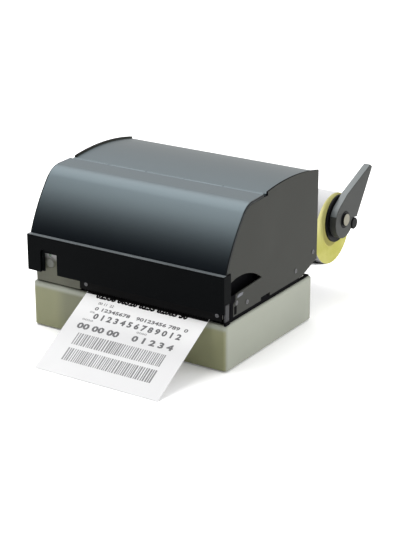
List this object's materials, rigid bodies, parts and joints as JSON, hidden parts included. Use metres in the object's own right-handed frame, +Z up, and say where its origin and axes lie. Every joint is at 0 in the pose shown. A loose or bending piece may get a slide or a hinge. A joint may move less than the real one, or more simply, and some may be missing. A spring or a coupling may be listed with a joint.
{
  "type": "thermal transfer label printer",
  "caption": "Desk-top label printer: painted base, hinged curved hood, ribbon and platen mechanism behind a toothed tear bar, and an open label roll with a blade lever at the rear.",
  "frame": {"origin": "centre of the bounding box, on the table", "axes": "+Z up, -Y towards the front where the printed label comes out, +X to the right seen from the front, +Y towards the label roll"},
  "size_m": [0.242, 0.4038, 0.1708],
  "materials": {
    "base_paint": "satin light grey-green paint",
    "body_paint": "fine textured charcoal paint",
    "hood_plastic": "satin moulded charcoal",
    "fascia_plastic": "satin black",
    "panel_plastic": "light grey moulding",
    "key_plastic": "mid grey key",
    "lamp_lens": "clear green lamp window",
    "zinc_steel": "bright zinc plated sheet",
    "black_steel": "black finished steel",
    "ground_steel": "ground shafts",
    "white_acetal": "moulded gears",
    "platen_rubber": "ground rubber",
    "bush_bronze": "sintered bushes",
    "ink_ribbon": "black ink film",
    "label_paper": "matt white paper",
    "roll_paper": "wound paper with a yellow edge",
    "cardboard": "spiral wound card",
    "holder_plastic": "black moulding",
    "lever_plastic": "slate grey moulding",
    "motor_black": "black lacquer",
    "head_alloy": "machined",
    "board_green": "solder resist",
    "socket_black": "black socket",
    "port_steel": "plated socket shell",
    "screw_steel": "bright screws",
    "foot_rubber": "rubber feet"
  },
  "bodies": {
    "chassis": {"base_housing": "base_paint", "base_plate": "zinc_steel", "rubber_feet": "foot_rubber", "deck_plate": "black_steel", "left_side_plate": "body_paint", "right_side_plate": "body_paint", "corner_post": "port_steel", "rear_top_cover": "body_paint", "rear_panel": "body_paint", "hinge_pin": "ground_steel", "control_panel": "panel_plastic", "status_light": "lamp_lens", "tear_bar": "black_steel", "machine_screws": "screw_steel", "frame_left": "zinc_steel", "frame_right": "zinc_steel", "motor_plate": "zinc_steel", "stepper_motor": "motor_black", "platen_bearings": "bush_bronze", "ribbon_guides": "ground_steel", "ribbon_film": "ink_ribbon", "head_pivot_shaft": "ground_steel", "head_springs": "ground_steel", "label_web": "label_paper", "media_sensor": "holder_plastic", "mainboard": "board_green", "power_supply": "board_green", "power_inlet": "socket_black", "data_ports": "port_steel", "roll_bracket": "black_steel", "roll_spindle": "holder_plastic"},
    "hood": {"hood": "hood_plastic", "fascia": "fascia_plastic"},
    "feed_key": {"feed_button": "key_plastic"},
    "platen": {"platen_shaft": "ground_steel", "platen_rubber": "platen_rubber", "platen_gear": "white_acetal"},
    "idler_low": {"idler_gear_low": "white_acetal"},
    "idler_mid": {"idler_gear_mid": "white_acetal"},
    "idler_high": {"idler_gear_high": "white_acetal"},
    "pinion": {"motor_pinion": "ground_steel"},
    "takeup": {"takeup_spindle": "holder_plastic", "takeup_gear": "white_acetal", "takeup_ribbon": "ink_ribbon"},
    "supply": {"supply_spindle": "holder_plastic", "supply_ribbon": "ink_ribbon"},
    "head": {"head_bracket": "zinc_steel", "print_head": "head_alloy", "head_heatsink": "head_alloy"},
    "lever": {"cam_shaft": "ground_steel", "head_lever": "key_plastic"},
    "guide_left": {"guide_left": "holder_plastic"},
    "guide_right": {"guide_right": "holder_plastic"},
    "rocker": {"power_rocker": "socket_black"},
    "roll": {"label_roll": "roll_paper", "roll_core": "cardboard"},
    "disc": {"roll_disc": "holder_plastic"},
    "blade": {"blade_lever": "lever_plastic", "lever_knob": "holder_plastic"}
  },
  "joints": [
    {"name": "hood_tilt", "type": "hinge", "parent": "chassis", "child": "hood", "pos_m": [0, -0.03843, 0.1637], "axis": [-1, 0, 0], "range_deg": [0, 90]},
    {"name": "feed_press", "type": "slide", "parent": "chassis", "child": "feed_key", "axis": [0, 1, 0], "range_m": [0, 0.0015], "stiffness_N_per_m": 300},
    {"name": "platen_spin", "type": "hinge", "parent": "chassis", "child": "platen", "pos_m": [0, -0.08543, 0.0582], "axis": [1, 0, 0], "continuous": true},
    {"name": "idler_low_spin", "type": "hinge", "parent": "chassis", "child": "idler_low", "pos_m": [0, -0.06887, 0.06776], "axis": [1, 0, 0], "continuous": true},
    {"name": "idler_mid_spin", "type": "hinge", "parent": "chassis", "child": "idler_mid", "pos_m": [0, -0.03932, 0.07297], "axis": [1, 0, 0], "continuous": true},
    {"name": "idler_high_spin", "type": "hinge", "parent": "chassis", "child": "idler_high", "pos_m": [0, -0.05327, 0.10288], "axis": [1, 0, 0], "continuous": true},
    {"name": "pinion_spin", "type": "hinge", "parent": "chassis", "child": "pinion", "pos_m": [0, -0.01717, 0.07688], "axis": [1, 0, 0], "continuous": true},
    {"name": "takeup_spin", "type": "hinge", "parent": "chassis", "child": "takeup", "pos_m": [0, -0.05944, 0.12762], "axis": [1, 0, 0], "continuous": true},
    {"name": "supply_spin", "type": "hinge", "parent": "chassis", "child": "supply", "pos_m": [0, 0.00057, 0.13], "axis": [1, 0, 0], "continuous": true},
    {"name": "head_lift", "type": "hinge", "parent": "chassis", "child": "head", "pos_m": [0, -0.03943, 0.096], "axis": [-1, 0, 0], "range_deg": [0, 3]},
    {"name": "lever_turn", "type": "hinge", "parent": "chassis", "child": "lever", "pos_m": [0, -0.07743, 0.09015], "axis": [-1, 0, 0], "range_deg": [0, 100]},
    {"name": "guide_left_slide", "type": "slide", "parent": "chassis", "child": "guide_left", "axis": [-1, 0, 0], "range_m": [0, 0.0035]},
    {"name": "guide_right_slide", "type": "slide", "parent": "chassis", "child": "guide_right", "axis": [1, 0, 0], "range_m": [0, 0.0035]},
    {"name": "rocker_tip", "type": "hinge", "parent": "chassis", "child": "rocker", "pos_m": [-0.057, 0.05757, 0.027], "axis": [-1, 0, 0], "range_deg": [0, 16]},
    {"name": "roll_spin", "type": "hinge", "parent": "chassis", "child": "roll", "pos_m": [0, 0.14007, 0.0758], "axis": [1, 0, 0], "continuous": true},
    {"name": "disc_slide", "type": "slide", "parent": "chassis", "child": "disc", "axis": [1, 0, 0], "range_m": [0, 0.008]},
    {"name": "blade_turn", "type": "hinge", "parent": "disc", "child": "blade", "pos_m": [0, 0.14007, 0.0885], "axis": [-1, 0, 0], "range_deg": [0, 90]}
  ],
  "couplings": [
    {"joint": "idler_low_spin", "follows": "platen_spin", "ratio": -0.59375},
    {"joint": "idler_mid_spin", "follows": "platen_spin", "ratio": 0.39583},
    {"joint": "pinion_spin", "follows": "platen_spin", "ratio": -1.5833},
    {"joint": "idler_high_spin", "follows": "platen_spin", "ratio": -0.475},
    {"joint": "takeup_spin", "follows": "platen_spin", "ratio": 0.67857},
    {"joint": "lever_turn", "follows": "head_lift", "ratio": 33.333},
    {"joint": "guide_right_slide", "follows": "guide_left_slide", "ratio": 1}
  ]
}
